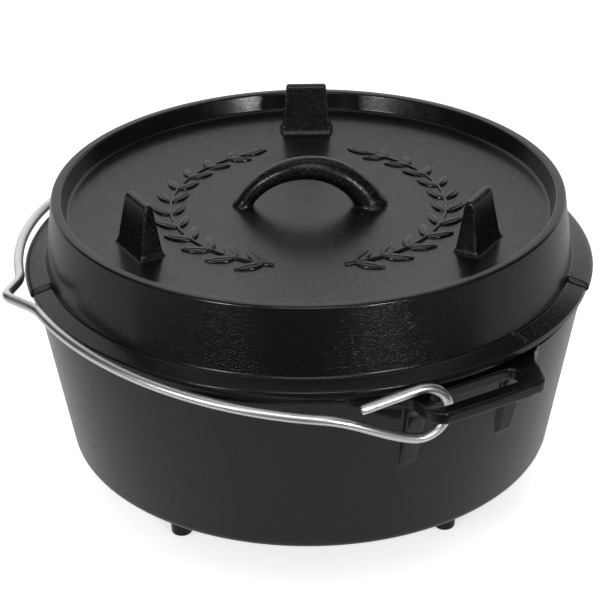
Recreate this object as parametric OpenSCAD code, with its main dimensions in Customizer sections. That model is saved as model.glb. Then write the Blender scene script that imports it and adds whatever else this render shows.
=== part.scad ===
// Camp dutch oven: a cast pot on three legs, a cast lid with a coal rim, and a wire bail.
// Millimetres, +Z up. The origin is on the pot's axis, in the plane that the three legs stand on.
// +X points to one ear, and the bail lies on the -Y side.

/* [Pot] */
// Height of the bowl, from its underside to the top of its rim
pot_h = 93; // [70:0.1:130]
// Outer radius of the wall at the top of the rim
mouth_r = 137.7; // [136:0.1:138]
// Lean of the wall from upright, in degrees
wall_taper = 9.86; // [4:0.01:14]
// Thickness of the wall
wall = 5; // [3.5:0.1:6.5]
// Thickness of the bottom
base_t = 5.5; // [3.5:0.1:8]
// Radius of the outer bottom corner
corner_r = 6; // [3:0.1:12]
// How far the rim's bead stands out from the wall
bead_out = 1; // [0.5:0.1:1.5]
// Height of the rim's bead
bead_h = 3; // [1.5:0.1:3.2]

/* [Legs of the pot] */
// Height of the legs
foot_h = 43.3; // [20:0.1:60]
// Radius of the circle that the legs stand on
foot_circle_r = 77.9; // [55:0.1:85]
// Radius of a leg at the ground
foot_tip_r = 5.3; // [4:0.1:7]
// Radius of a leg where it joins the pot
foot_root_r = 8; // [7.2:0.1:12]
// Width of the slanted edge round a leg's end
foot_edge = 1.4; // [0.5:0.1:2]

/* [Ears] */
// Length of an ear along the rim
ear_len = 62; // [60:0.1:64]
// Thickness of an ear
ear_t = 6.1; // [5:0.1:6.5]
// How far the top of an ear lies below the pot's rim
ear_drop = 3; // [3:0.1:4]
// Gap between the pot's wall at the rim and the slot
slot_inset = 2.2; // [2:0.1:2.4]
// Width of the slot, square to the wall
slot_w = 11.1; // [10.9:0.1:12]
// Length of the slot
slot_len = 47; // [46.5:0.1:47.5]
// Radius of the slot's corners
slot_corner_r = 3; // [2:0.1:3]
// Width of the ear's outer bar
bar_w = 6.8; // [5:0.1:10]
// Radius of the ear's outer corners
ear_corner_r = 8; // [3:0.1:8]
// Radius of the hollow corner where an ear's arm meets the wall
root_r = 10; // [4:0.1:10.5]
// Width of the rib below each arm, at its top
rib_w = 8; // [6.4:0.1:8]
// Width of a rib at its foot
rib_foot_w = 6.4; // [3:0.1:6.4]
// How far a rib stands out at its top, from the rim's outer radius
rib_reach = 1.4; // [0.5:0.1:1.4]
// Height of a rib
rib_h = 37; // [20:0.1:40]

/* [Lid] */
// Radius of the flange
flange_r = 140; // [139.8:0.1:142]
// Thickness of the flange at its edge
flange_t = 3.5; // [2.5:0.1:5]
// Rise of the flange's top from its edge to the wall
flange_rise = 2.9; // [1:0.1:5]
// Radius of the wall at the flange
lid_foot_r = 130.2; // [129:0.1:132]
// Outer radius of the rim that keeps the coals in
lid_rim_r = 126.2; // [120:0.1:128]
// Height of the rim above the flange's edge
lid_h = 35.7; // [28:0.1:60]
// Depth of the coal tray below the rim
tray_depth = 9.7; // [5:0.1:12]
// Width of the rim's top
rim_w = 4.5; // [3:0.1:6]
// Thickness of the lid's wall
lid_wall = 5; // [3.5:0.1:6]
// Thickness of the lid's floor
lid_floor_t = 5; // [3.5:0.1:8]
// Height of the lip that drops into the pot's mouth
lip_h = 4; // [2:0.1:8]
// Width of the lip
lip_w = 4.5; // [3:0.1:5]
// Angle at which the lid is set down on the pot, in degrees
lid_turn = 59; // [50:1:70]

/* [Legs of the lid] */
// Height of the lid's legs above the tray
leg_h = 26.4; // [18:0.1:40]
// Radius of the circle that the legs are on
leg_circle_r = 93.2; // [75:0.1:100]
// Width of a leg at its root, along the rim
leg_root_w = 26; // [22:0.1:32]
// Depth of a leg at its root, towards the axis
leg_root_d = 11.4; // [8:0.1:18]
// Width of a leg at its top
leg_top_w = 20.4; // [12:0.1:24]
// Depth of a leg at its top
leg_top_d = 4.6; // [3:0.1:8]

/* [Handle of the lid] */
// Distance between the centres of the handle's two feet
handle_span = 61; // [50:0.1:80]
// Rise of the bar's centre above the tray
handle_rise = 19.8; // [16:0.1:28]
// Diameter of the bar
handle_d = 12; // [8:0.1:14]

/* [Edge of the lid] */
// Angle that each side tab covers, in degrees
tab_angle = 35; // [20:1:40]
// How far a tab stands out from the flange
tab_out = 2; // [0.5:0.1:2]
// How far a tab stands above the flange
tab_rise = 2.6; // [1:0.1:4]
// How far a tab hangs down outside the pot's rim
tab_drop = 2.4; // [1:0.1:3]
// Width of the ridge over the probe groove
probe_w = 6.4; // [4:0.1:10]
// Height of that ridge at the wall
probe_h = 4.4; // [2:0.1:6]

/* [Bail] */
// Diameter of the wire
wire_d = 4.8; // [4:0.1:4.8]
// Radius of the bow
bow_r = 147.2; // [147.2:0.1:149]
// How far the bow's centre lies behind the line through the hooks
bow_back = 1.8; // [0:0.1:1.8]
// Rise of the bow at rest, in degrees
rest_tilt = 4.9; // [4.9:0.1:8]
// How far the line through the hooks slopes up towards the far ear, in degrees
hinge_slope = 1.8; // [1.4:0.1:2]
// Width of the hanging notch in the middle of the bow
notch_w = 32; // [26:0.1:44]
// Depth of the hanging notch, before its nose is rounded
notch_h = 11; // [8:0.1:14]
// Radius of a hook, to the middle of the wire
hook_r = 13; // [12:0.1:14]
// Length of a hook's straight end
hook_end = 28; // [20:0.1:32]
// Place of the hooks along the ears, from their middle
hook_place = 28; // [27:0.1:29]
// How far the hooks stand in from the middle of the slots
hook_in = 4.7; // [4.4:0.1:5]

/* [Clearances] */
// Gap between the lid's lip and the pot's wall
lip_gap = 1; // [0.6:0.1:2]
// Gap between the lid's seat and the pot's rim
seat_gap = 0.2; // [0.1:0.05:0.3]
// Gap between a tab's hanging edge and the rim's bead
tab_gap = 0.5; // [0.3:0.1:0.8]

/* [Hidden] */

$fn = 96;
cast_colour = "#2a2a2b";
wire_colour = "#c8c9ca";

// How deep one solid sinks into another that it is cast with
blend = 1;

// Pot: heights and radii that follow from the sizes above
rim_z = foot_h + pot_h;
base_r = mouth_r - pot_h * tan(wall_taper);
bead_r = mouth_r + bead_out;
side_wall = wall / cos(wall_taper);
ear_top = rim_z - ear_drop;
ear_low = ear_top - ear_t;
slot_x = mouth_r + slot_inset;
bar_x = slot_x + slot_w;
ear_x = bar_x + bar_w;
arm_y = (slot_len + ear_len) / 4;

// Lid: heights and radii that follow
seat_z = rim_z + seat_gap;
edge_z = seat_z + flange_t;
foot_z = edge_z + flange_rise;
lid_top = edge_z + lid_h;
tray_z = lid_top - tray_depth;
rim_in_r = lid_rim_r - rim_w;
lip_r = mouth_r - side_wall - lip_gap;
tab_r = flange_r + tab_out;
edge_round = 1.2;
tray_round = 2;
tray_draft = 8;
flange_round = 3.6;
LEGS = [-30, 90, 210];
TABS = [0, 180];
probe_at = -45;

// Bail: the line through both hooks crosses the pot's axis near the middle of the ears' thickness
hinge_z = (ear_top + ear_low) / 2 - 0.75;
hook_x = (slot_x + bar_x) / 2 - hook_in;
hinge_turn = atan(hook_place / hook_x);
hook_plane = norm([hook_x, hook_place]);
hook_mid = [-1.5, -0.4];
end_dip = 13;
strand_rise = 12;
bow_start = 71;
notch_bend = 6;
notch_nose = 4.5;
wire_sides = 12;

// Radius of the pot's outer wall at height z
function wall_r(z) = base_r + (z - foot_h) * tan(wall_taper);

// Points on an arc, from angle a to angle b
function arc(centre, r, a, b, steps) =
    [for (i = [0 : steps]) let (t = a + (b - a) * i / steps) centre + r * [cos(t), sin(t)]];

// Points on a cubic curve, without its last one
function curve(p, q, r, s, steps) =
    [for (i = [0 : steps - 1]) let (t = i / steps, u = 1 - t)
        u * u * u * p + 3 * u * u * t * q + 3 * u * t * t * r + t * t * t * s];

function unit(v) = v / norm(v);
function reversed(list) = [for (i = [len(list) - 1 : -1 : 0]) list[i]];

module rounded_plate(length, width, r) {
    square([length - 2 * r, width], center = true);
    square([length, width - 2 * r], center = true);
    for (x = [-1, 1], y = [-1, 1])
        translate([x * (length / 2 - r), y * (width / 2 - r)])
            circle(r);
}

// Pot

module bowl() {
    corner_x = base_r + corner_r * tan(wall_taper) - corner_r / cos(wall_taper);
    inner_r = corner_r;
    inner_z = foot_h + base_t;
    inner_x = wall_r(inner_z + inner_r) - side_wall - inner_r / cos(wall_taper);
    bead_z = rim_z - bead_h;
    rotate_extrude()
        polygon(concat(
            [[0, foot_h]],
            arc([corner_x, foot_h + corner_r], corner_r, -90, -wall_taper, 12),
            [[wall_r(bead_z - bead_out), bead_z - bead_out], [bead_r, bead_z]],
            [[bead_r, rim_z], [mouth_r - side_wall, rim_z]],
            arc([inner_x, inner_z + inner_r], inner_r, -wall_taper, -90, 12),
            [[0, inner_z]]
        ));
}

module pot_leg() {
    rotate_extrude()
        polygon([
            [0, 0], [foot_tip_r - foot_edge, 0], [foot_tip_r, foot_edge],
            [foot_root_r, foot_h + blend], [0, foot_h + blend]
        ]);
}

module ear_outline() {
    inside_r = wall_r(ear_low) - wall / 2;
    plate = ear_x - inside_r + ear_corner_r;
    difference() {
        union() {
            translate([ear_x - plate / 2, 0])
                rounded_plate(plate, ear_len, ear_corner_r);
            for (side = [-1, 1])
                scale([1, side])
                    ear_root();
        }
        circle(inside_r);
        translate([(slot_x + bar_x) / 2, 0])
            rounded_plate(slot_w, slot_len, slot_corner_r);
    }
}

// Hollow corner between an arm of the ear and the wall
module ear_root() {
    end_y = ear_len / 2;
    wall_x = sqrt(pow(wall_r(ear_top), 2) - pow(end_y + root_r, 2));
    difference() {
        translate([wall_x - root_r, end_y - blend])
            square([2 * root_r, root_r + blend]);
        translate([wall_x + root_r, end_y + root_r])
            circle(root_r);
    }
}

// Rib that carries an arm of the ear down the wall
module ear_rib() {
    low_z = ear_low - rib_h;
    low_out = 2.6;
    waist_in = 2.2;
    waist_drop = 6;
    inside = wall / 2;
    top_x = mouth_r + rib_reach;
    function at(z) = sqrt(pow(wall_r(z), 2) - pow(arm_y, 2));
    intersection() {
        rotate([90, 0, 0])
            linear_extrude(2 * rib_w, center = true)
                polygon([
                    [at(ear_low) - inside, ear_low + blend], [top_x, ear_low + blend],
                    [top_x, ear_low], [mouth_r - waist_in, ear_low - waist_drop],
                    [at(low_z) + low_out, low_z + low_out],
                    [at(low_z), low_z], [at(low_z) - inside, low_z]
                ]);
        rotate([90, 0, 90])
            linear_extrude(ear_x)
                polygon([
                    [-rib_w / 2, ear_low + blend], [-rib_w / 2, ear_low],
                    [-rib_foot_w / 2, low_z], [rib_foot_w / 2, low_z],
                    [rib_w / 2, ear_low], [rib_w / 2, ear_low + blend]
                ]);
    }
}

module ear() {
    translate([0, 0, ear_low])
        linear_extrude(ear_t)
            ear_outline();
    for (side = [-1, 1])
        translate([0, side * arm_y, 0])
            ear_rib();
}

module pot() {
    color(cast_colour) {
        bowl();
        for (turn = [0, 180])
            rotate(turn)
                ear();
        for (turn = [-90, 30, 150])
            rotate(turn)
                translate([foot_circle_r, 0, 0])
                    pot_leg();
    }
}

// Lid

module lid_shell() {
    under_z = tray_z - lid_floor_t;
    under_r = lid_rim_r - lid_wall;
    lip_z = seat_z - lip_h;
    lip_in_r = lip_r - lip_w;
    hollow_r = lid_foot_r - lid_wall / 2;
    lean = atan((lid_foot_r - lid_rim_r) / (lid_top - foot_z));
    slope = atan(flange_rise / (flange_r - lid_foot_r));
    half = (90 + lean + slope) / 2;
    middle = half - slope;
    fillet = [lid_foot_r, foot_z] + flange_round / sin(half) * [cos(middle), sin(middle)];
    tray_x = rim_in_r - (tray_depth - tray_round) * tan(tray_draft) - tray_round / cos(tray_draft);
    rotate_extrude()
        polygon(concat(
            [[0, under_z], [under_r - tray_round, under_z], [under_r, under_z - tray_round]],
            hollow_r < lip_in_r ? [[hollow_r, seat_z]] : [],
            [[lip_in_r, seat_z], [lip_in_r, lip_z]],
            [[lip_r - edge_round, lip_z], [lip_r, lip_z + edge_round], [lip_r, seat_z]],
            [[flange_r, seat_z], [flange_r, edge_z]],
            arc(fillet, flange_round, 270 - slope, 180 + lean, 8),
            arc([lid_rim_r - edge_round, lid_top - edge_round], edge_round, lean, 90, 6),
            arc([rim_in_r + edge_round, lid_top - edge_round], edge_round, 90, 180 - tray_draft, 6),
            arc([tray_x, tray_z + tray_round], tray_round, -tray_draft, -90, 6),
            [[0, tray_z]]
        ));
}

module lid_leg() {
    sunk = blend / leg_h;
    module side(root, top, depth) {
        grow = (root - top) * sunk / 2;
        rotate([90, 0, 0])
            linear_extrude(depth, center = true)
                polygon([
                    [-root / 2 - grow, -blend], [root / 2 + grow, -blend],
                    [top / 2, leg_h], [-top / 2, leg_h]
                ]);
    }
    span = 2 * leg_root_w;
    intersection() {
        side(leg_root_d, leg_top_d, span);
        rotate(90)
            side(leg_root_w, leg_top_w, span);
    }
}

module lid_handle() {
    bend_r = (pow(handle_span / 2, 2) + pow(handle_rise, 2)) / (2 * handle_rise);
    room = handle_span + 2 * handle_d;
    intersection() {
        translate([0, 0, handle_rise - bend_r])
            rotate([90, 0, 0])
                rotate_extrude()
                    translate([bend_r, 0])
                        circle(d = handle_d);
        translate([-room / 2, -handle_d, -blend])
            cube([room, 2 * handle_d, handle_rise + handle_d]);
    }
}

// Raised stretch of the flange that hangs over the outside of the pot's rim
module lid_tab() {
    in_r = bead_r + tab_gap;
    rotate(-tab_angle / 2)
        rotate_extrude(angle = tab_angle)
            polygon([
                [lid_foot_r - blend, seat_z + blend], [lid_foot_r - blend, foot_z + tab_rise],
                [tab_r - edge_round, edge_z + tab_rise], [tab_r, edge_z + tab_rise - edge_round],
                [tab_r, seat_z - tab_drop], [in_r, seat_z - tab_drop], [in_r, seat_z + blend]
            ]);
}

// Small pyramid over the groove that lets a probe's cable out between lid and pot
module probe_ridge() {
    intersection() {
        linear_extrude(lid_top)
            polygon([
                [lid_foot_r - blend, -probe_w / 2], [flange_r - edge_round, 0],
                [lid_foot_r - blend, probe_w / 2]
            ]);
        rotate([90, 0, 0])
            linear_extrude(2 * probe_w, center = true)
                polygon([
                    [lid_foot_r - blend, seat_z + blend], [flange_r - edge_round, edge_z - blend],
                    [flange_r - edge_round, edge_z + blend / 2], [lid_foot_r - blend, foot_z + probe_h]
                ]);
    }
}

module lid() {
    color(cast_colour)
        rotate(lid_turn) {
            lid_shell();
            for (turn = LEGS)
                rotate(turn)
                    translate([leg_circle_r, 0, tray_z])
                        lid_leg();
            translate([0, 0, tray_z])
                lid_handle();
            for (turn = TABS)
                rotate(turn)
                    lid_tab();
            rotate(probe_at)
                probe_ridge();
        }
}

// Bail. A point of the wire is [along the hooks' line, out along the bow, up from the bow's plane].

// Point of the bow at angle a from its middle, with the radius grown by out
function bow_point(a, out = 0) = [(bow_r + out) * sin(a), (bow_r + out) * cos(a) - bow_back, 0];

// Round bend from p to q inside the corner at c
function bend(p, c, q, steps) = curve(p, (p + 2 * c) / 3, (q + 2 * c) / 3, q, steps);

notch_foot = asin(notch_w / 2 / bow_r);
notch_peak = bow_point(0, notch_h);
function notch_way(side) = unit(notch_peak - bow_point(side * notch_foot));
function nose(side) = notch_peak - notch_nose * notch_way(side);

// One half of the wire, from a hook's end to the side of the notch, on side 1 or -1
function half_wire(side) =
    let (
        hook = arc(hook_mid, hook_r, 90 - end_dip, 270 + strand_rise, 28),
        tip = hook[0] + hook_end * [cos(end_dip), -sin(end_dip)],
        loop = [for (p = concat([tip, (tip + hook[0]) / 2], hook)) [side * hook_plane, p[0], p[1]]],
        foot = loop[len(loop) - 1],
        leave = [0, cos(strand_rise), sin(strand_rise)],
        meet = bow_point(side * bow_start),
        along = [-side * cos(bow_start), sin(bow_start), 0],
        turn = notch_foot + notch_bend / bow_r * 180 / PI,
        shoulder = bow_point(side * notch_foot)
    )
    concat(
        [for (i = [0 : len(loop) - 2]) loop[i]],
        curve(foot, foot + 17 * leave, meet - 17 * along, meet, 12),
        [for (i = [0 : 21]) bow_point(side * (bow_start + (turn - bow_start) * i / 22))],
        bend(bow_point(side * turn), shoulder, shoulder + notch_bend * notch_way(side), 5),
        [shoulder + notch_bend * notch_way(side)]
    );

// Directions square to the wire that don't twist along it
function level(v, way) = unit(v - (v * way) * way);
function spokes(ways) =
    [for (i = 0, v = [1, 0, 0]; i < len(ways); v = level(v, ways[min(i + 1, len(ways) - 1)]), i = i + 1) v];

module tube(path, d, sides) {
    count = len(path);
    ways = [for (i = [0 : count - 1]) unit(path[min(i + 1, count - 1)] - path[max(i - 1, 0)])];
    across = spokes(ways);
    points = [for (i = [0 : count - 1], j = [0 : sides - 1])
        let (a = 360 * j / sides)
            path[i] + d / 2 * (cos(a) * across[i] + sin(a) * cross(ways[i], across[i]))];
    skin = [for (i = [0 : count - 2], j = [0 : sides - 1])
        let (k = (j + 1) % sides, a = i * sides, b = a + sides)
            each [[a + j, b + j, b + k], [a + j, b + k, a + k]]];
    caps = [
        [for (j = [0 : sides - 1]) j],
        [for (j = [sides - 1 : -1 : 0]) (count - 1) * sides + j]
    ];
    polyhedron(points, concat(skin, caps));
}

module bail() {
    wire = concat(
        half_wire(1),
        bend(nose(1), notch_peak, nose(-1), 6),
        [nose(-1)],
        reversed(half_wire(-1))
    );
    color(wire_colour)
        translate([0, 0, hinge_z])
            rotate([0, hinge_slope, -hinge_turn])
                rotate([-rest_tilt, 0, 0])
                    mirror([0, 1, 0])
                        tube(wire, wire_d, wire_sides);
}

pot();
lid();
bail();
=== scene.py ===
import math

import bmesh
import bpy
import numpy as np
from mathutils import Matrix, Vector


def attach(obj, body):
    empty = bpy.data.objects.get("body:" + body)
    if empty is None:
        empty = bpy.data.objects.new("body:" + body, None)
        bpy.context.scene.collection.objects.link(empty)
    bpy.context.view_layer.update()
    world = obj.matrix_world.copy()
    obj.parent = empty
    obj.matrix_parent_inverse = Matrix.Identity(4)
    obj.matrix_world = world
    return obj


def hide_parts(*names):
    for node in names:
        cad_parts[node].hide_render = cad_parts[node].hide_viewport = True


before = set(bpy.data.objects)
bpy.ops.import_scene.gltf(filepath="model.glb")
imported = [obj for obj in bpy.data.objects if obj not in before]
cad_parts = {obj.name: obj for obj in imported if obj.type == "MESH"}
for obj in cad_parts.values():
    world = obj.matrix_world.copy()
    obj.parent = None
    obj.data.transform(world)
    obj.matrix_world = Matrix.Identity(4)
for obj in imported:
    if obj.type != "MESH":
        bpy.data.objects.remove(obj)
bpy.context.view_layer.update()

scene = bpy.context.scene
MM = 0.001
TINY = 1e-6

# Sizes in millimetres, the same as the solids'

FOOT_H = 43.3  # underside of the bowl
RIM_Z = 136.3  # top of the pot's rim
MOUTH_R = 137.7  # outside of the pot's mouth
BASE_R = 121.54  # outside of the bowl at its base
TAPER = math.tan(math.radians(9.86))  # lean of the wall
WALL = 5.075  # the wall, measured level
BASE_T = 5.5  # floor of the bowl
FOOT_CIRCLE_R = 77.9  # circle that the pot's legs stand on

EAR_TOP = 133.3
EAR_LOW = 127.2
EAR_X = 157.8  # outside of an ear's grip bar
BAR_X = 151.0  # inside of the bar
SLOT_X = 139.9  # side of the slot next to the pot
SLOT_Y = 23.5  # half the slot's length
EAR_Y = 31.0  # half the ear's width at the bar
ARM_Y = 27.25  # middle of an arm
RIB_H = 37.0  # height of the ribs under the arms

SEAT_Z = 136.5  # underside of the lid's flange
EDGE_Z = 140.0  # top of the flange at its edge
FOOT_Z = 142.9  # top of the flange at the foot of the lid's wall
LID_TOP = 175.7  # top of the coal rim
TRAY_Z = 166.0  # top of the tray inside the coal rim
FLANGE_R = 140.0
LID_FOOT_R = 130.2  # outside of the lid's wall at its foot
LID_RIM_R = 126.2  # outside of the coal rim
RIM_IN_R = 121.7  # inside of the coal rim
TRAY_R = 120.34
LID_WALL = 5.0
LID_FLOOR_T = 5.0
LIP_H = 4.0  # locating lip under the lid
LIP_W = 4.5
LIP_GAP = 1.0
LID_LEG_R = 93.2  # circle of the legs on the lid
LID_LEG_H = 26.4
LID_TURN = math.radians(59)  # turn of the lid about Z, from its handle along X

HOOK_X = 140.75  # place of the bail's hook on the ear's arm
HOOK_Y = 28.0
HINGE_Z = 129.5  # height of the line that the bail swings about
HINGE_SLOPE = math.radians(1.8)
WIRE_R = 2.4

# How finely round shapes are divided

CASTING_SEG = 288
LEG_SEG = 40
SLICE_STEPS = 40
STEM_STEPS = 60
STEM_SIDES = 12
HANDLE_STEPS = 60
HANDLE_SIDES = 32
BOW_STEPS = 60
WIRE_SIDES = 28


def wall_r(z):
    """Outside of the pot's wall at a height."""
    return BASE_R + (z - FOOT_H) * TAPER


# Mesh helpers: a shell is (vertices in mm as an array, faces as lists of indices)

def polar(r, a, x=0.0, y=0.0):
    """Point at distance r and angle a from (x, y)."""
    return x + r * math.cos(a), y + r * math.sin(a)


def arc(x, y, r, first, last, step):
    """Points on an arc about (x, y), from one angle to another in whole degrees."""
    angles = range(first, last + (1 if step > 0 else -1), step)
    return [polar(r, math.radians(a), x, y) for a in angles]


def rounded(points, steps=6):
    """Polyline through (x, z, radius) corners, with each corner rounded."""
    out = []
    for i, (x, z, r) in enumerate(points):
        if r == 0 or i in (0, len(points) - 1):
            out.append((x, z))
            continue
        corner = Vector((x, z))
        back = (Vector(points[i - 1][:2]) - corner).normalized()
        ahead = (Vector(points[i + 1][:2]) - corner).normalized()
        half = back.angle(ahead) / 2
        centre = corner + (back + ahead).normalized() * (r / math.sin(half))
        first = corner + back * (r / math.tan(half)) - centre
        sweep = first.angle_signed(corner + ahead * (r / math.tan(half)) - centre)
        for k in range(steps + 1):
            t = -sweep * k / steps
            out.append((centre.x + first.x * math.cos(t) - first.y * math.sin(t),
                        centre.y + first.x * math.sin(t) + first.y * math.cos(t)))
    return out


def lathe(profile, seg):
    """Surface of revolution about Z from an open profile that ends on the axis."""
    angles = [2 * math.pi * k / seg for k in range(seg)]
    verts, rings, faces = [], [], []
    for r, z in profile:
        if r < TINY:
            rings.append([len(verts)] * seg)
            verts.append((0, 0, z))
        else:
            rings.append(list(range(len(verts), len(verts) + seg)))
            verts += [(*polar(r, a), z) for a in angles]
    for a, b in zip(rings, rings[1:]):
        for k in range(seg):
            m = (k + 1) % seg
            face = list(dict.fromkeys((a[k], a[m], b[m], b[k])))
            if len(face) > 2:
                faces.append(face)
    return np.array(verts, float), faces


def ring_faces(rings, n):
    """Faces of a closed skin over rings of n points each, with both ends capped."""
    faces = [[i * n + k, i * n + (k + 1) % n, (i + 1) * n + (k + 1) % n, (i + 1) * n + k]
             for i in range(rings - 1) for k in range(n)]
    return faces + [list(range(n))[::-1], [(rings - 1) * n + k for k in range(n)]]


def sector(polygon, a0, a1, steps):
    """A closed profile turned about Z from angle a0 to a1, with both ends capped."""
    angles = [a0 + (a1 - a0) * i / steps for i in range(steps + 1)]
    verts = [(*polar(r, a), z) for a in angles for r, z in polygon]
    return np.array(verts, float), ring_faces(steps + 1, len(polygon))


def bmesh_shell(bm):
    """The shell that a bmesh holds. The bmesh is freed."""
    bm.verts.index_update()
    shell = np.array([v.co[:] for v in bm.verts], float), [[v.index for v in f.verts] for f in bm.faces]
    bm.free()
    return shell


def hull(points):
    """Convex shell of a few points."""
    bm = bmesh.new()
    for p in points:
        bm.verts.new(p)
    bmesh.ops.convex_hull(bm, input=bm.verts)
    loose = [v for v in bm.verts if not v.link_faces]
    bmesh.ops.delete(bm, geom=loose, context="VERTS")
    return bmesh_shell(bm)


def plate(outer, holes, z0, z1):
    """Flat plate with an outline and holes, as a closed shell."""
    bm = bmesh.new()
    edges = []
    for loop in [outer] + holes:
        vs = [bm.verts.new((x, y, z0)) for x, y in loop]
        edges += [bm.edges.new((vs[i], vs[(i + 1) % len(vs)])) for i in range(len(vs))]
    bmesh.ops.triangle_fill(bm, use_beauty=True, use_dissolve=False, edges=edges)
    top = bmesh.ops.extrude_face_region(bm, geom=bm.faces[:])
    raised = [g for g in top["geom"] if isinstance(g, bmesh.types.BMVert)]
    bmesh.ops.translate(bm, vec=(0, 0, z1 - z0), verts=raised)
    bmesh.ops.recalc_face_normals(bm, faces=bm.faces[:])
    return bmesh_shell(bm)


def unit(v):
    return v / np.linalg.norm(v)


def tube(path, radii, sides, first):
    """Round tube along a path, with a radius for each point and untwisted rings."""
    path = np.asarray(path, float)
    ways = [unit(path[min(i + 1, len(path) - 1)] - path[max(i - 1, 0)]) for i in range(len(path))]
    v = np.asarray(first, float)
    verts = []
    for p, w, r in zip(path, ways, radii):
        v = unit(v - (v @ w) * w)
        u = np.cross(w, v)
        for j in range(sides):
            a = 2 * math.pi * j / sides
            verts.append(p + r * (math.cos(a) * v + math.sin(a) * u))
    return np.array(verts), ring_faces(len(path), sides)


def turned(shell, angle):
    """A shell turned about Z."""
    c, s = math.cos(angle), math.sin(angle)
    return shell[0] @ np.array([[c, s, 0], [-s, c, 0], [0, 0, 1]]), shell[1]


def moved(shell, by):
    return shell[0] + np.asarray(by, float), shell[1]


def joined(shells):
    """Several shells as one, with their vertices in the same order."""
    verts, faces, base = [], [], 0
    for v, f in shells:
        verts.append(v)
        faces += [[i + base for i in face] for face in f]
        base += len(v)
    return np.vstack(verts), faces


def points_and_edges(mesh):
    """A mesh's vertices, and the indices at the two ends of its edges."""
    co = np.empty(len(mesh.vertices) * 3)
    mesh.vertices.foreach_get("co", co)
    ends = np.empty(len(mesh.edges) * 2, int)
    mesh.edges.foreach_get("vertices", ends)
    a, b = ends.reshape(-1, 2).T
    return co.reshape(-1, 3), a, b


def neighbour_mean(values, a, b):
    """Mean of the values at each point's neighbours, along edges from a to b."""
    n = len(values)
    count = np.maximum(np.bincount(a, minlength=n) + np.bincount(b, minlength=n), 1)
    return (np.bincount(a, values[b], n) + np.bincount(b, values[a], n)) / count


def poured(shells, voxel, rounds, hidden):
    """Overlapping shells melted into one skin with soft cast corners.

    Each round of smoothing moves a point half way to its neighbours' mean.
    Faces where hidden() is true at all corners are cut away.
    """
    verts, faces = joined(shells)
    mesh = bpy.data.meshes.new("melt")
    mesh.from_pydata(verts.tolist(), [], faces)
    ob = bpy.data.objects.new("melt", mesh)
    scene.collection.objects.link(ob)
    mod = ob.modifiers.new("skin", "REMESH")
    mod.mode = "VOXEL"
    mod.voxel_size = voxel
    melted = ob.evaluated_get(bpy.context.evaluated_depsgraph_get()).to_mesh()
    v, a, b = points_and_edges(melted)
    faces = [list(p.vertices) for p in melted.polygons]
    bpy.data.objects.remove(ob)
    bpy.data.meshes.remove(mesh)
    for _ in range(rounds):
        mean = np.stack([neighbour_mean(v[:, k], a, b) for k in range(3)], -1)
        v = v + 0.5 * (mean - v)
    gone = hidden(v)
    faces = [f for f in faces if not all(gone[i] for i in f)]
    used = np.unique(np.array([i for f in faces for i in f]))
    index = np.full(len(v), -1)
    index[used] = np.arange(len(used))
    return v[used], [[int(index[i]) for i in f] for f in faces]


def piece(name, shell, material, body, node):
    """Smooth-shaded object that rides on a body and stands for a node of the solids."""
    mesh = bpy.data.meshes.new(name)
    mesh.from_pydata((shell[0] * MM).tolist(), [], shell[1])
    mesh.validate()
    mesh.shade_smooth()
    mesh.materials.append(material)
    ob = bpy.data.objects.new(name, mesh)
    scene.collection.objects.link(ob)
    bm = bmesh.new()
    bm.from_mesh(mesh)
    bmesh.ops.recalc_face_normals(bm, faces=bm.faces[:])
    bm.to_mesh(mesh)
    bm.free()
    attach(ob, body)
    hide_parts(node)
    return ob


# Wear and painted highlight on edges and fillets, where the colour is painted lighter: the curvature per mm
# where it starts, how much more makes it full, and its loss on a coarse skin
WEAR_AND_HIGHLIGHT_FROM = 0.22
WEAR_AND_HIGHLIGHT_SPAN = 0.45
COARSE_LOSS = 0.5


def mark_wear_highlight_and_sand(ob, sandy):
    """Marks edges and fillets, where the coat is smoother and the colour is painted lighter, partly as wear
    and partly as a painted highlight, and ranges of vertices with a coarser skin.
    """
    mesh = ob.data
    co, a, b = points_and_edges(mesh)
    co = co / MM
    n = len(co)
    no = np.empty(3 * n)
    mesh.vertices.foreach_get("normal", no)
    no = no.reshape(-1, 3)
    way = co[b] - co[a]
    bend = np.abs(((no[b] - no[a]) * way).sum(1)) / np.maximum((way ** 2).sum(1), TINY)
    most = np.zeros(n)
    np.maximum.at(most, a, bend)
    np.maximum.at(most, b, bend)
    # Curvature mask for the lighter edges and fillets: partly wear, partly a painted highlight
    wear_and_highlight = np.clip((most - WEAR_AND_HIGHLIGHT_FROM) / WEAR_AND_HIGHLIGHT_SPAN, 0, 1)
    wear_and_highlight = 0.5 * wear_and_highlight + 0.5 * neighbour_mean(wear_and_highlight, a, b)
    coarse = np.zeros(n)
    for some in sandy:
        coarse[some] = 1
    for name, value in (("wear_and_highlight", wear_and_highlight * (1 - COARSE_LOSS * coarse)), ("sandy", coarse)):
        mesh.attributes.new(name, "FLOAT", "POINT").data.foreach_set("value", value.astype(np.float32))


# Materials

IRON_DEEP = (0.0013, 0.0013, 0.0014, 1)
IRON_PALE = (0.0021, 0.0021, 0.0022, 1)
IRON_FLECK = (0.007, 0.007, 0.0072, 1)
# Lighter colour for edges and fillets: partly wear, partly a painted highlight
IRON_WEAR_AND_HIGHLIGHT = (0.0055, 0.0055, 0.0056, 1)
IRON_SPECULAR = 0.35
STEEL_DEEP = (0.70, 0.695, 0.68, 1)
STEEL_PALE = (0.80, 0.795, 0.78, 1)

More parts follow.
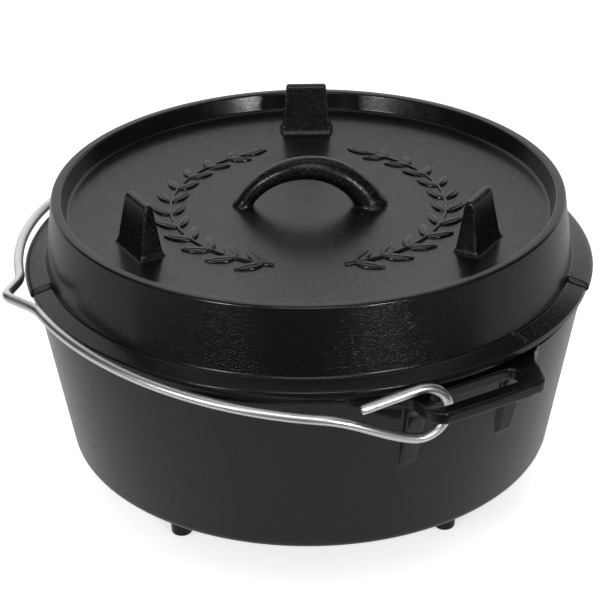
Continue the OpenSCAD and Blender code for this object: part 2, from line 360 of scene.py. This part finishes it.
# Scales of the textures, per metre, and heights of the bumps in metres
IRON_CLOUDS = 26
IRON_PEBBLES = 430
IRON_FLECKS = 1150
IRON_GRAINS = 1400
GRAIN_H = 0.0001
COARSE_GRAIN_H = 0.00014
STEEL_CLOUDS = 60
STEEL_LINES = (14, 260, 1)  # along the wire, per metre, and around it, per turn
STEEL_LINE_H = 0.00005
NOISE_MIDDLE = (0.3, 0.7)  # where most of a noise's values lie
NOISE_PEAKS = (0.60, 0.75)
GRAIN_SPAN = (0.03, 0.45)  # from a grain's top to its edge, in cells


def new_material(name):
    material = bpy.data.materials.new(name)
    material.use_nodes = True
    return material, material.node_tree, material.node_tree.nodes["Principled BSDF"]


def feed(tree, socket, value):
    """Links a socket to an output, or sets it to a constant."""
    if isinstance(value, bpy.types.NodeSocket):
        tree.links.new(value, socket)
    else:
        socket.default_value = value


def noise(tree, source, scale, detail, rough):
    n = tree.nodes.new("ShaderNodeTexNoise")
    n.inputs["Scale"].default_value = scale
    n.inputs["Detail"].default_value = detail
    n.inputs["Roughness"].default_value = rough
    tree.links.new(source, n.inputs["Vector"])
    return n.outputs["Fac"]


def attribute(tree, name):
    n = tree.nodes.new("ShaderNodeAttribute")
    n.attribute_name = name
    return n.outputs["Fac"]


def ramp(tree, source, span, low, high):
    """Maps a span of the source's values to the values from low to high."""
    n = tree.nodes.new("ShaderNodeMapRange")
    n.inputs["From Min"].default_value = span[0]
    n.inputs["From Max"].default_value = span[1]
    n.inputs["To Min"].default_value = low
    n.inputs["To Max"].default_value = high
    tree.links.new(source, n.inputs["Value"])
    return n.outputs["Result"]


def product(tree, a, b):
    n = tree.nodes.new("ShaderNodeMath")
    n.operation = "MULTIPLY"
    tree.links.new(a, n.inputs[0])
    tree.links.new(b, n.inputs[1])
    return n.outputs[0]


def mixed(tree, factor, a, b):
    """Colour between a and b."""
    n = tree.nodes.new("ShaderNodeMix")
    n.data_type = "RGBA"
    tree.links.new(factor, n.inputs["Factor"])
    feed(tree, n.inputs[6], a)
    feed(tree, n.inputs[7], b)
    return n.outputs[2]


def bumped(tree, height, strength, distance):
    n = tree.nodes.new("ShaderNodeBump")
    feed(tree, n.inputs["Strength"], strength)
    feed(tree, n.inputs["Distance"], distance)
    tree.links.new(height, n.inputs["Height"])
    return n.outputs["Normal"]


def cast_iron():
    """Seasoned iron with a sand grain, flatter on marked edges and fillets and higher where it is sandy;
    the marked edges and fillets are also painted lighter, partly as wear and partly as a painted highlight.
    """
    material, tree, shader = new_material("cast_iron_seasoned")
    place = tree.nodes.new("ShaderNodeTexCoord").outputs["Object"]
    wear_and_highlight = attribute(tree, "wear_and_highlight")
    sandy = attribute(tree, "sandy")
    whole = (0, 1)

    clouds = ramp(tree, noise(tree, place, IRON_CLOUDS, detail=3, rough=0.55), NOISE_MIDDLE, 0, 1)
    flecks = ramp(tree, noise(tree, place, IRON_FLECKS, detail=2, rough=0.6), NOISE_PEAKS, 0, 1)
    flecked = mixed(tree, flecks, mixed(tree, clouds, IRON_DEEP, IRON_PALE), IRON_FLECK)
    # Edges and fillets are painted lighter: partly wear, partly a painted highlight
    tree.links.new(mixed(tree, wear_and_highlight, flecked, IRON_WEAR_AND_HIGHLIGHT), shader.inputs["Base Color"])
    shader.inputs["Specular IOR Level"].default_value = IRON_SPECULAR

    pebbles = noise(tree, place, IRON_PEBBLES, detail=2, rough=0.5)
    rough = ramp(tree, pebbles, NOISE_MIDDLE, 0.19, 0.27)
    rough = product(tree, rough, ramp(tree, wear_and_highlight, whole, 1.0, 0.8))
    rough = product(tree, rough, ramp(tree, sandy, whole, 1.0, 1.15))
    tree.links.new(rough, shader.inputs["Roughness"])

    cell = tree.nodes.new("ShaderNodeTexVoronoi")
    cell.inputs["Scale"].default_value = IRON_GRAINS
    tree.links.new(place, cell.inputs["Vector"])
    sand = ramp(tree, cell.outputs["Distance"], GRAIN_SPAN, 1, 0)
    sand.node.interpolation_type = "SMOOTHSTEP"
    normal = bumped(tree, sand, ramp(tree, wear_and_highlight, whole, 1.0, 0.2),
                    ramp(tree, sandy, whole, GRAIN_H, COARSE_GRAIN_H))
    tree.links.new(normal, shader.inputs["Normal"])
    return material


def drawn_steel():
    """Bright wire with fine lines along it."""
    material, tree, shader = new_material("drawn_steel")
    shader.inputs["Metallic"].default_value = 1.0
    uv_map = tree.nodes.new("ShaderNodeUVMap")
    uv_map.uv_map = "along"
    stretch = tree.nodes.new("ShaderNodeMapping")
    stretch.inputs["Scale"].default_value = STEEL_LINES
    tree.links.new(uv_map.outputs["UV"], stretch.inputs["Vector"])
    lines = noise(tree, stretch.outputs["Vector"], 1.0, detail=3, rough=0.6)
    place = tree.nodes.new("ShaderNodeTexCoord").outputs["Object"]
    clouds = ramp(tree, noise(tree, place, STEEL_CLOUDS, detail=2, rough=0.5), NOISE_MIDDLE, 0, 1)
    tree.links.new(mixed(tree, clouds, STEEL_DEEP, STEEL_PALE), shader.inputs["Base Color"])
    tree.links.new(ramp(tree, lines, NOISE_MIDDLE, 0.30, 0.42), shader.inputs["Roughness"])
    tree.links.new(bumped(tree, lines, strength=0.10, distance=STEEL_LINE_H), shader.inputs["Normal"])
    return material


iron = cast_iron()
steel = drawn_steel()


# Pot

NECK_R = MOUTH_R - 1.6  # the rim steps in over the wall
NECK_Z = 133.0
WALL_TOP = 132.2
SUNK = 3.0  # depth of a rib's back inside the wall
POT_LEGS_AT = (-90, 30, 150)  # degrees


def pot_profile():
    inner_z = FOOT_H + BASE_T
    return rounded([
        (0, FOOT_H, 0), (BASE_R, FOOT_H, 6.0), (wall_r(WALL_TOP), WALL_TOP, 0.7), (NECK_R, NECK_Z, 0.3),
        (NECK_R, RIM_Z, 0.5), (MOUTH_R - WALL, RIM_Z, 1.4),
        (wall_r(inner_z) - WALL, inner_z, 7.0), (0, inner_z, 0)])


def pot_leg():
    foot_r, top_r, root_r = 5.3, 7.6, 13.0
    return lathe(rounded([
        (0, 0, 0), (foot_r, 0, 1.5), (top_r, FOOT_H - 3, 6.0),
        (root_r, FOOT_H + 0.4, 0), (0, FOOT_H + 0.5, 0)]), LEG_SEG)


def bowed(outline):
    """An ear's outline with its bar bowed out."""
    bar_from_x, rise = 148, 1.0

    def bow(x, y):
        return x + (rise * (1 - (y / EAR_Y) ** 2) - rise / 2 if x > bar_from_x else 0)

    return [(bow(x, y), y) for x, y in outline]


def ear_outline():
    """Outline of an ear at +X: the arm at +Y slants away, and the hook's arm at -Y is square."""
    corner, root = 8.0, 10.0
    in_wall = [(131.0, 30), (132.5, 15), (133.0, 0)]
    bar = [(EAR_X, y) for y in (0, 5, 10, 15, 20)]
    slant = rounded([(EAR_X, 20, 0), (EAR_X + 0.1, 30.4, 6.5), (147.0, 35.0, 8), (140.5, 36.3, 9),
                     (133.4, 41.4, 5), (128.7, 47.2, 0)], 5)
    slanted = bar + slant[1:] + [(125, 46)] + in_wall
    root_y = EAR_Y + root
    wall_x = math.sqrt(wall_r(EAR_TOP) ** 2 - root_y ** 2)
    square = bar + arc(EAR_X - corner, EAR_Y - corner, corner, 0, 90, 10)
    square += arc(wall_x + root, root_y, root, 270, 180, -10) + [(wall_x - 2, root_y + 1)] + in_wall
    return bowed(slanted + [(x, -y) for x, y in square[::-1] if abs(y) > TINY])


def slot_outline():
    corner = 3.0
    middles = ((BAR_X - corner, SLOT_Y - corner), (SLOT_X + corner, SLOT_Y - corner),
               (SLOT_X + corner, -SLOT_Y + corner), (BAR_X - corner, -SLOT_Y + corner))
    outline = []
    for k, (x, y) in enumerate(middles):
        outline += arc(x, y, corner, 90 * k, 90 * k + 90, 15)
    return bowed(outline)


def ear_rib(y):
    """The rib under an arm: a short head, and a foot that runs out down the wall."""
    def at(z):
        return math.sqrt(wall_r(z) ** 2 - ARM_Y ** 2)

    def block(corners):
        return hull([(x, y + sides[k], z) for k in (0, 1) for x, z, sides in corners])

    top, waist, foot = (-4.0, 7.6), (-3.7, 7.0), (-3.2, 5.2)
    head_x, waist_x, above_waist_x, toe = 139.1, 135.5, 136.2, 2.6
    head_z, waist_z, foot_z = EAR_LOW + 1, EAR_LOW - 6, EAR_LOW - RIB_H
    return [
        block(((at(EAR_LOW) - SUNK, head_z, top), (head_x, head_z, top), (head_x, EAR_LOW, top),
               (waist_x, waist_z, waist), (at(waist_z) - SUNK, waist_z, waist))),
        block(((at(waist_z + 1) - SUNK, waist_z + 1, waist), (above_waist_x, waist_z + 1, waist),
               (waist_x, waist_z, waist), (at(foot_z) + toe, foot_z + toe, foot),
               (at(foot_z), foot_z, foot), (at(foot_z) - SUNK, foot_z, foot)))]


def ear_shell():
    """One ear at +X: plate with its slot, ribs, and a slice of the wall just under the pot's own skin."""
    low_z, high_z, half_angle = 80, 132, 0.37
    shells = [plate(ear_outline(), [slot_outline()], EAR_LOW, EAR_TOP)]
    for arm in (-1, 1):
        shells += ear_rib(arm * ARM_Y)
    skin = [(wall_r(z) - 0.22, z) for z in (low_z, high_z)]
    skin += [(MOUTH_R - 1.8, NECK_Z + 0.2), (MOUTH_R - 4, NECK_Z + 0.2), (wall_r(low_z) - 4, low_z)]
    shells.append(sector(skin, -half_angle, half_angle, SLICE_STEPS))

    def hidden(v):
        in_wall = np.hypot(v[:, 0], v[:, 1]) < wall_r(v[:, 2]) - 0.12
        beside = np.abs(np.arctan2(v[:, 1], v[:, 0])) > half_angle - 0.01
        return in_wall | beside | (v[:, 2] < low_z + 1)
    return poured(shells, voxel=0.6, rounds=9, hidden=hidden)


near_ear = ear_shell()
pot_parts = [lathe(pot_profile(), CASTING_SEG), near_ear, turned(near_ear, math.pi)]
pot_parts += [moved(pot_leg(), (*polar(FOOT_CIRCLE_R, math.radians(a)), 0)) for a in POT_LEGS_AT]
pot = piece("pot_casting", joined(pot_parts), iron, "pot", "pot")
mark_wear_highlight_and_sand(pot, [])


# Lid, made with its handle along X and then set down at its angle

def lid_profile():
    under = TRAY_Z - LID_FLOOR_T
    lip = MOUTH_R - WALL - LIP_GAP
    lip_low = SEAT_Z - LIP_H
    return rounded([
        (0, under, 0), (LID_RIM_R - LID_WALL, under, 3.0), (lip - LIP_W, SEAT_Z - 1, 2.0),
        (lip - LIP_W, lip_low, 0.8), (lip, lip_low, 1.2), (lip, SEAT_Z, 0.5),
        (FLANGE_R, SEAT_Z, 0.3), (FLANGE_R, EDGE_Z, 1.1), (LID_FOOT_R + 0.8, FOOT_Z - 0.6, 1.8),
        (LID_RIM_R, LID_TOP, 1.3), (RIM_IN_R - 0.4, LID_TOP, 1.3), (TRAY_R - 1.0, TRAY_Z, 2.0),
        (0, TRAY_Z, 0)])


def slab(x, y, depth=3.0):
    """Slice of the tray just under its own skin."""
    z = TRAY_Z - 0.12
    return hull([(i * x, j * y, k) for i in (-1, 1) for j in (-1, 1) for k in (z, z - depth)])


def under_tray(v):
    return v[:, 2] < TRAY_Z - 0.06


def lid_leg():
    """Tapered leg with a low flare round its root."""
    def ring(depth, width, z, lean):
        return [(i * depth / 2 - lean, j * width / 2, TRAY_Z + z) for i in (-1, 1) for j in (-1, 1)]

    root_lean, top_lean = 0.5, 0.9
    post = ring(12.4, 26.0, -1, root_lean)
    post += ring(4.4, 21.0, LID_LEG_H - 1.6, top_lean) + ring(2.6, 20.0, LID_LEG_H - 0.3, top_lean)
    flare = ring(14.2, 28.0, -0.6, root_lean) + ring(12.0, 25.6, 1.8, root_lean)
    return poured([hull(post), hull(flare), slab(13, 20)], voxel=0.5, rounds=4, hidden=under_tray)


def lid_handle():
    """Arched handle, thicker towards +X and flared where it meets the tray."""
    bend_r, rise, end = 33.39, 19.8, math.radians(72)
    half_span, skew = 31, 1.6
    flare, flare_h = 1.2, 3.0
    taper_x = [-32, -26, -18, -8, 2, 14, 24, 32]
    taper_r = [3.9, 4.3, 4.9, 5.6, 6.0, 6.35, 6.7, 7.4]
    path, radii = [], []
    for k in range(HANDLE_STEPS + 1):
        a = -end + 2 * end * k / HANDLE_STEPS
        x, h = bend_r * math.sin(a), rise - bend_r + bend_r * math.cos(a)
        path.append((x - skew * max(0, -x / half_span) ** 2, 0, TRAY_Z + h))
        r = float(np.interp(x, taper_x, taper_r))
        radii.append(r + flare * max(0, 1 - max(h, 0) / flare_h) ** 2)
    grip = tube(path, radii, HANDLE_SIDES, (0, 1, 0))
    return poured([grip, slab(50, 16)], voxel=0.5, rounds=4, hidden=under_tray)


def flange_skin(a):
    """Slice of the flange and wall just under the lid's own skin, as far as angle a each way."""
    return sector([(125, 137.2), (139.7, 137.2), (139.7, 139.75), (132.2, 141.75), (130.9, 142.6),
                   (130.25, 146), (129.7, 150), (125, 150)], -a, a, SLICE_STEPS)


def under_flange(v):
    """Where a point lies inside the flange or the wall's foot."""
    skin_r = [129.8, 130.35, 130.75, 131.5, 132.3, 140]
    skin_z = [150, 146, 143.4, 142.4, 141.97, 140.0]
    r = np.hypot(v[:, 0], v[:, 1])
    skin = np.interp(r, skin_r, skin_z)
    return ((v[:, 2] < skin - 0.05) & (r < FLANGE_R - 0.05) & (v[:, 2] > SEAT_Z + 0.5)) | (r < 129.5)


def lid_tab():
    """Raised pad over the flange, bevelled outside and with sloping ends."""
    half_angle, slope, rise, end_rise = math.radians(17.5), 0.006, 2.0, 0.3

    def cut(up):
        return [(128, 138), (128, 142.2 + up), (131.0, 142.0 + up), (138.8, 140.0 + up),
                (140.4, 139.2 + up), (141.2, 138.0 + up), (141.2, 138.2), (140.4, 137.6), (138, 138)]

    def stood(outline, angle):
        return [(*polar(r, angle), z) for r, z in outline]

    level = half_angle - slope
    shells = [sector(cut(rise), -level, level, SLICE_STEPS), flange_skin(half_angle + 0.08)]
    shells += [hull(stood(cut(rise), s * level) + stood(cut(end_rise), s * half_angle)) for s in (-1, 1)]
    return poured(shells, voxel=0.4, rounds=3, hidden=under_flange)


def probe_ridge():
    """Small ridge across the flange, from the wall's foot to the edge."""
    foot, crest, proud = 1.8, 0.8, 1.1
    ridge = [(129.0, y, 141) for y in (-foot, foot)]
    ridge += [(129.4, y, FOOT_Z + proud) for y in (-crest, crest)]
    ridge += [(139.4, y, 138.6) for y in (-foot, foot)]
    ridge += [(138.9, y, EDGE_Z + proud) for y in (-crest, crest)]
    return poured([hull(ridge), flange_skin(0.09)], voxel=0.4, rounds=2, hidden=under_flange)


def leaf(length, width, height):
    """Low leaf along X with a raised midrib, closed, its foot under z = 0."""
    across = ((-1, 0), (-0.86, 0.72), (-0.18, 0.62), (0, 1.0), (0.18, 0.62), (0.86, 0.72), (1, 0))
    steps, foot = 14, -0.8
    verts = []
    for i in range(steps + 1):
        t = i / steps
        w = max(0.12, width / 2 * math.sin(math.pi * t ** 0.8) ** 0.75)
        crown = height * (0.25 + 0.75 * math.sin(math.pi * min(1, 0.12 + 0.82 * t)) ** 0.5)
        ring = [(k * w, h * crown) for k, h in across] + [(w, foot), (-w, foot)]
        verts += [(length * t, y, z) for y, z in ring]
    return np.array(verts, float), ring_faces(steps + 1, len(across) + 2)


def spray(start, end):
    """Arc of paired leaves on a thin stem, lying on the tray, from one angle to another."""
    radius, pairs, splay, shrink = 68.0, 11, 0.66, 0.25
    leaf_l, leaf_w, leaf_h, stalk = 15.0, 6.2, 1.5, 0.6
    tip_l, tip_w = 12.5, 5.0
    stem_r, stem_thins = 1.1, 0.3
    way = math.copysign(math.pi / 2, end - start)
    turns = [start + (end - start) * k / STEM_STEPS for k in range(STEM_STEPS + 1)]
    stem = [(*polar(radius, a), TRAY_Z + 0.1) for a in turns]
    stem_radii = [stem_r - stem_thins * k / STEM_STEPS for k in range(STEM_STEPS + 1)]
    shells = [tube(stem, stem_radii, STEM_SIDES, (0, 0, 1))]
    for k in range(pairs):
        a = start + (end - start) * (k + 0.3) / pairs
        size = 1 - shrink * k / pairs
        for hand in (-1, 1):
            one = turned(moved(leaf(leaf_l * size, leaf_w * size, leaf_h), (stalk, 0, 0)), hand * splay)
            shells.append(moved(turned(one, a + way), (*polar(radius, a), TRAY_Z)))
    tip = turned(leaf(tip_l, tip_w, leaf_h), end + way)
    shells.append(moved(tip, (*polar(radius, end), TRAY_Z)))
    return poured(shells, voxel=0.42, rounds=1, hidden=under_tray)


# The lid's shells, each with the skin that it has; angles in degrees
FINE, COARSE = False, True
RIDGE_AT = -44.3
LID_LEGS_AT = (-30, 90, 210)
SPRAYS = ((-76, 62), (256, 118))

one_leg = moved(lid_leg(), (LID_LEG_R, 0, 0))
one_tab = lid_tab()
lid_parts = [
    (lathe(lid_profile(), CASTING_SEG), FINE),
    (lid_handle(), COARSE),
    (turned(probe_ridge(), math.radians(RIDGE_AT)), FINE)]
lid_parts += [(turned(one_leg, math.radians(a)), COARSE) for a in LID_LEGS_AT]
lid_parts += [(one_tab, FINE), (turned(one_tab, math.pi), FINE)]
lid_parts += [(spray(math.radians(a), math.radians(b)), FINE) for a, b in SPRAYS]
lid_shell = joined([shell for shell, skin in lid_parts])
lid = piece("lid_casting", turned(lid_shell, LID_TURN), iron, "lid", "lid")
ends = np.cumsum([len(shell[0]) for shell, skin in lid_parts])
mark_wear_highlight_and_sand(lid, [slice(end - len(shell[0]), end)
           for (shell, skin), end in zip(lid_parts, ends) if skin == COARSE])


# Bail, close to the line of the solid's wire, made lying along -Y and then tilted and turned

BOW_R = 146.5
BOW_BACK = 1.8  # how far the bow's middle lies behind the hinge's line
BOW_FROM = math.radians(71)  # angle where the bow runs into the hook
BAIL_TILT = math.radians(-5.6)
HOOK_MID = np.array([-0.7, 0.8])
HOOK_R = 13.0
HOOK_DIP = math.radians(16)  # slope of the hook's straight end
HOOK_END = 27.4  # length of that end
HOOK_LIFT = math.radians(12)  # slope at which the wire leaves the hook
HOOK_EASE = 17  # how gently the wire bends from the hook into the bow
NOTCH_HALF = 16
NOTCH_H = 11
SHOULDER = 6  # length of the bend at each side of the notch
NOSE = 4.5  # length of the bend at its peak


def cubic(p, q, r, s, n):
    """n points on a cubic curve, without its last."""
    return [(1 - t) ** 3 * p + 3 * (1 - t) ** 2 * t * q + 3 * (1 - t) * t * t * r + t ** 3 * s
            for t in (i / n for i in range(n))]


def bent(p, corner, q, n):
    """n points on a bend from p to q, round a corner."""
    return cubic(p, (p + 2 * corner) / 3, (q + 2 * corner) / 3, q, n)


def on_bow(a, out=0):
    return np.array([(BOW_R + out) * math.sin(a), (BOW_R + out) * math.cos(a) - BOW_BACK, 0])


def bail_half(side, peak, notch):
    """The wire from the tip of one hook to the straight side of the notch."""
    plane = math.hypot(HOOK_X, HOOK_Y)
    turns = np.linspace(math.pi / 2 - HOOK_DIP, 1.5 * math.pi + HOOK_LIFT, 56)
    hook = [HOOK_MID + np.array(polar(HOOK_R, a)) for a in turns]
    tip = hook[0] + HOOK_END * np.array([math.cos(HOOK_DIP), -math.sin(HOOK_DIP)])
    straight = [tip + (hook[0] - tip) * k for k in (0, 0.012, 0.03, 0.2, 0.4, 0.6, 0.8)]
    loop = [np.array([side * plane, *p]) for p in straight + hook]
    leaving = HOOK_EASE * np.array([0, math.cos(HOOK_LIFT), math.sin(HOOK_LIFT)])
    meet = on_bow(side * BOW_FROM)
    along = np.array([-side * math.cos(BOW_FROM), math.sin(BOW_FROM), 0])
    bow_to = notch + SHOULDER / BOW_R
    shoulder = on_bow(side * notch)
    rising = shoulder + SHOULDER * unit(peak - shoulder)
    return (loop[:-1]
            + cubic(loop[-1], loop[-1] + leaving, meet - HOOK_EASE * along, meet, 24)
            + [on_bow(side * (BOW_FROM + (bow_to - BOW_FROM) * i / BOW_STEPS)) for i in range(BOW_STEPS)]
            + bent(on_bow(side * bow_to), shoulder, rising, 8) + [rising])


def bail_path():
    """Points along the wire's middle, and the way in which its first ring starts."""
    notch = math.asin(NOTCH_HALF / BOW_R)
    peak = on_bow(0, NOTCH_H)
    right, left = (peak - NOSE * unit(peak - on_bow(side * notch)) for side in (1, -1))
    path = np.array(bail_half(1, peak, notch) + bent(right, peak, left, 12) + [left]
                    + bail_half(-1, peak, notch)[::-1])
    path[:, 1] *= -1
    turn = Matrix.Rotation(-math.atan2(HOOK_Y, HOOK_X), 3, "Z")
    turn = turn @ Matrix.Rotation(HINGE_SLOPE, 3, "Y") @ Matrix.Rotation(BAIL_TILT, 3, "X")
    return path @ np.array(turn).T + np.array([0, 0, HINGE_Z]), np.array(turn) @ np.array([1, 0, 0])


def unwrap_along(ob, path):
    """UV map of a tube: metres along it, and the share of a turn around it."""
    lengths = np.linalg.norm(np.diff(path, axis=0), axis=1)
    along = np.concatenate([[0], np.cumsum(lengths)]) * MM
    uv = ob.data.uv_layers.new(name="along")
    for face in ob.data.polygons:
        points = [ob.data.loops[i].vertex_index for i in face.loop_indices]
        at_seam = {p % WIRE_SIDES for p in points} == {0, WIRE_SIDES - 1}
        for i, p in zip(face.loop_indices, points):
            j = p % WIRE_SIDES
            uv.data[i].uv = (along[p // WIRE_SIDES], (WIRE_SIDES if at_seam and j == 0 else j) / WIRE_SIDES)


wire_path, wire_side = bail_path()
blunt_ends = [1.9, 2.3]
radii = blunt_ends + [WIRE_R] * (len(wire_path) - 2 * len(blunt_ends)) + blunt_ends[::-1]
bail = piece("bail_wire", tube(wire_path, radii, WIRE_SIDES, wire_side), steel, "bail", "bail")
unwrap_along(bail, wire_path)


# Stage, in metres: x to the right of the view, y away from it

VIEW_TURN = Matrix.Rotation(LID_TURN, 3, "Z")  # the lid's handle lies across the view
FLOOR_HALF = 5
FLOOR_LEVEL = 0.94  # grey level of the floor as the camera sees it
FLOOR_GLOW = 0.54
FLOOR_DIM = 0.4  # its grey level in reflections and in the light that it throws back
FLOOR_MIRROR_GLOW = 0.29
CARD_LEVEL = 0.02
WORLD_FILL = 0.5
WORLD_WHITE = 1.0
CARD_SIDE = 1.3  # how far the side cards stand from the middle
CARD_FRONT = -1.25
CARD_BACK = 1.2
CARD_TOP = 1.9


def staged(name, corners, material):
    """Four-sided sheets that aren't part of the object."""
    mesh = bpy.data.meshes.new(name)
    faces = [[4 * i + k for k in range(4)] for i in range(len(corners) // 4)]
    mesh.from_pydata(corners, [], faces)
    mesh.materials.append(material)
    ob = bpy.data.objects.new(name, mesh)
    scene.collection.objects.link(ob)
    return ob


def matte(shader, level, rough, specular):
    shader.inputs["Base Color"].default_value = (level, level, level, 1)
    shader.inputs["Roughness"].default_value = rough
    shader.inputs["Specular IOR Level"].default_value = specular


def with_glow(tree, surface, strength):
    """A surface with white emission added."""
    glow = tree.nodes.new("ShaderNodeEmission")
    glow.inputs["Color"].default_value = (1, 1, 1, 1)
    glow.inputs["Strength"].default_value = strength
    both = tree.nodes.new("ShaderNodeAddShader")
    tree.links.new(surface, both.inputs[0])
    tree.links.new(glow.outputs[0], both.inputs[1])
    return both.outputs[0]


def by_ray(tree, plain, seen, mirrored):
    """Shows one look to the camera and through glass, one in reflections and a plain one to all else."""
    kind = tree.nodes.new("ShaderNodeLightPath")
    shown = plain
    for flag, look in (("Is Camera Ray", seen), ("Is Transmission Ray", seen), ("Is Glossy Ray", mirrored)):
        pick = tree.nodes.new("ShaderNodeMixShader")
        tree.links.new(kind.outputs[flag], pick.inputs[0])
        tree.links.new(shown, pick.inputs[1])
        tree.links.new(look, pick.inputs[2])
        shown = pick.outputs[0]
    return shown


def pale_floor():
    material, tree, shader = new_material("floor_pale")
    matte(shader, FLOOR_LEVEL, rough=0.9, specular=0.1)
    dim = tree.nodes.new("ShaderNodeBsdfDiffuse")
    dim.inputs["Color"].default_value = (FLOOR_DIM, FLOOR_DIM, FLOOR_DIM, 1)
    seen = with_glow(tree, shader.outputs[0], FLOOR_GLOW)
    mirrored = with_glow(tree, dim.outputs[0], FLOOR_MIRROR_GLOW)
    shown = by_ray(tree, dim.outputs[0], seen, mirrored)
    tree.links.new(shown, tree.nodes["Material Output"].inputs["Surface"])
    return material


def dark_card():
    material, _, shader = new_material("card_dark")
    matte(shader, CARD_LEVEL, rough=1.0, specular=0.0)
    return material


def level_card(x0, x1, y0, y1, z):
    return [(x0, y0, z), (x1, y0, z), (x1, y1, z), (x0, y1, z)]


def card_across(x0, x1, y, z0, z1):
    return [(x0, y, z0), (x1, y, z0), (x1, y, z1), (x0, y, z1)]


def card_along(x, y0, y1, z0, z1):
    return [(x, y0, z0), (x, y1, z0), (x, y1, z1), (x, y0, z1)]


staged("floor", level_card(-FLOOR_HALF, FLOOR_HALF, -FLOOR_HALF, FLOOR_HALF, 0), pale_floor())


# Camera, as fitted to the photograph, in millimetres and radians

VIEW_TILT = 0.4881
VIEW_ROLL = -0.0130
VIEW_AIM = Vector((-4.664, 0, -27.554))  # from the middle of the flange's top, in the view's directions
VIEW_DISTANCE = 1088.51
SENSOR = 36
LENS = 129.0
CLIP_END = 50  # metres


def add_camera():
    forward = VIEW_TURN @ Vector((0, math.cos(VIEW_TILT), -math.sin(VIEW_TILT)))
    across = VIEW_TURN @ Vector((1, 0, 0))
    over = across.cross(forward)
    side = math.cos(VIEW_ROLL) * across + math.sin(VIEW_ROLL) * over
    up = -math.sin(VIEW_ROLL) * across + math.cos(VIEW_ROLL) * over
    eye = VIEW_TURN @ VIEW_AIM + Vector((0, 0, EDGE_Z)) - VIEW_DISTANCE * forward
    data = bpy.data.cameras.new("camera")
    data.sensor_width = SENSOR
    data.lens = LENS
    data.clip_end = CLIP_END
    camera = bpy.data.objects.new("camera", data)
    camera.matrix_world = Matrix((
        (side.x, up.x, -forward.x, eye.x * MM), (side.y, up.y, -forward.y, eye.y * MM),
        (side.z, up.z, -forward.z, eye.z * MM), (0, 0, 0, 1)))
    scene.collection.objects.link(camera)
    scene.camera = camera


add_camera()


# Lamps, in metres and watts

def softbox(name, place, target, size, power, glossy=True):
    data = bpy.data.lights.new(name, "AREA")
    data.shape = "RECTANGLE"
    data.size, data.size_y = size
    data.energy = power
    ob = bpy.data.objects.new(name, data)
    ob.location = VIEW_TURN @ Vector(place)
    ob.rotation_euler = (VIEW_TURN @ (Vector(target) - Vector(place))).to_track_quat("-Z", "Y").to_euler()
    ob.visible_glossy = glossy
    scene.collection.objects.link(ob)


lid_middle = (0, 0, 0.16)
small_box = (0.22, 0.20)
softbox("top", (0.0, -0.1, 1.7), (0, 0, 0.1), size=(1.2, 1.0), power=8.0, glossy=False)
softbox("front", (0.0, -1.02, 1.10), lid_middle, size=(0.6, 0.8), power=5.0)
softbox("left", (-0.76, -1.05, 0.50), lid_middle, small_box, power=5.6)
softbox("right", (0.60, -1.14, 0.42), lid_middle, small_box, power=5.6)


# Dark cards round the stage, seen by reflections alone

overhead_gap = (-0.1, 0.5)
side_low, side_back = 0.06, 0.9
card_corners = level_card(-1.0, 1.0, CARD_FRONT, -0.29, 0.003)  # on the floor in front
card_corners += card_across(-CARD_SIDE, CARD_SIDE, CARD_FRONT, 0.0, CARD_TOP)  # behind the camera
card_corners += level_card(-CARD_SIDE, CARD_SIDE, CARD_FRONT, overhead_gap[0], CARD_TOP)
card_corners += level_card(-CARD_SIDE, CARD_SIDE, overhead_gap[1], CARD_BACK, CARD_TOP)
for x in (-CARD_SIDE, CARD_SIDE):
    card_corners += card_along(x, CARD_FRONT, side_back, side_low, CARD_TOP)
card_corners += card_across(0.2, CARD_SIDE, CARD_BACK, 1.0, CARD_TOP)  # high at the back on the right
cards = staged("dark_cards", [VIEW_TURN @ Vector(p) for p in card_corners], dark_card())
cards.visible_camera = cards.visible_diffuse = cards.visible_transmission = cards.visible_shadow = False


# World: white where it is seen or mirrored, and a softer fill for all else

def white_background(node, strength):
    node.inputs["Color"].default_value = (1, 1, 1, 1)
    node.inputs["Strength"].default_value = strength
    return node.outputs[0]


scene.world = bpy.data.worlds.new("studio")
scene.world.use_nodes = True
world_tree = scene.world.node_tree
fill = white_background(world_tree.nodes["Background"], WORLD_FILL)
white = white_background(world_tree.nodes.new("ShaderNodeBackground"), WORLD_WHITE)
lit = by_ray(world_tree, fill, white, white)
world_tree.links.new(lit, world_tree.nodes["World Output"].inputs["Surface"])

scene.view_settings.view_transform = "Standard"
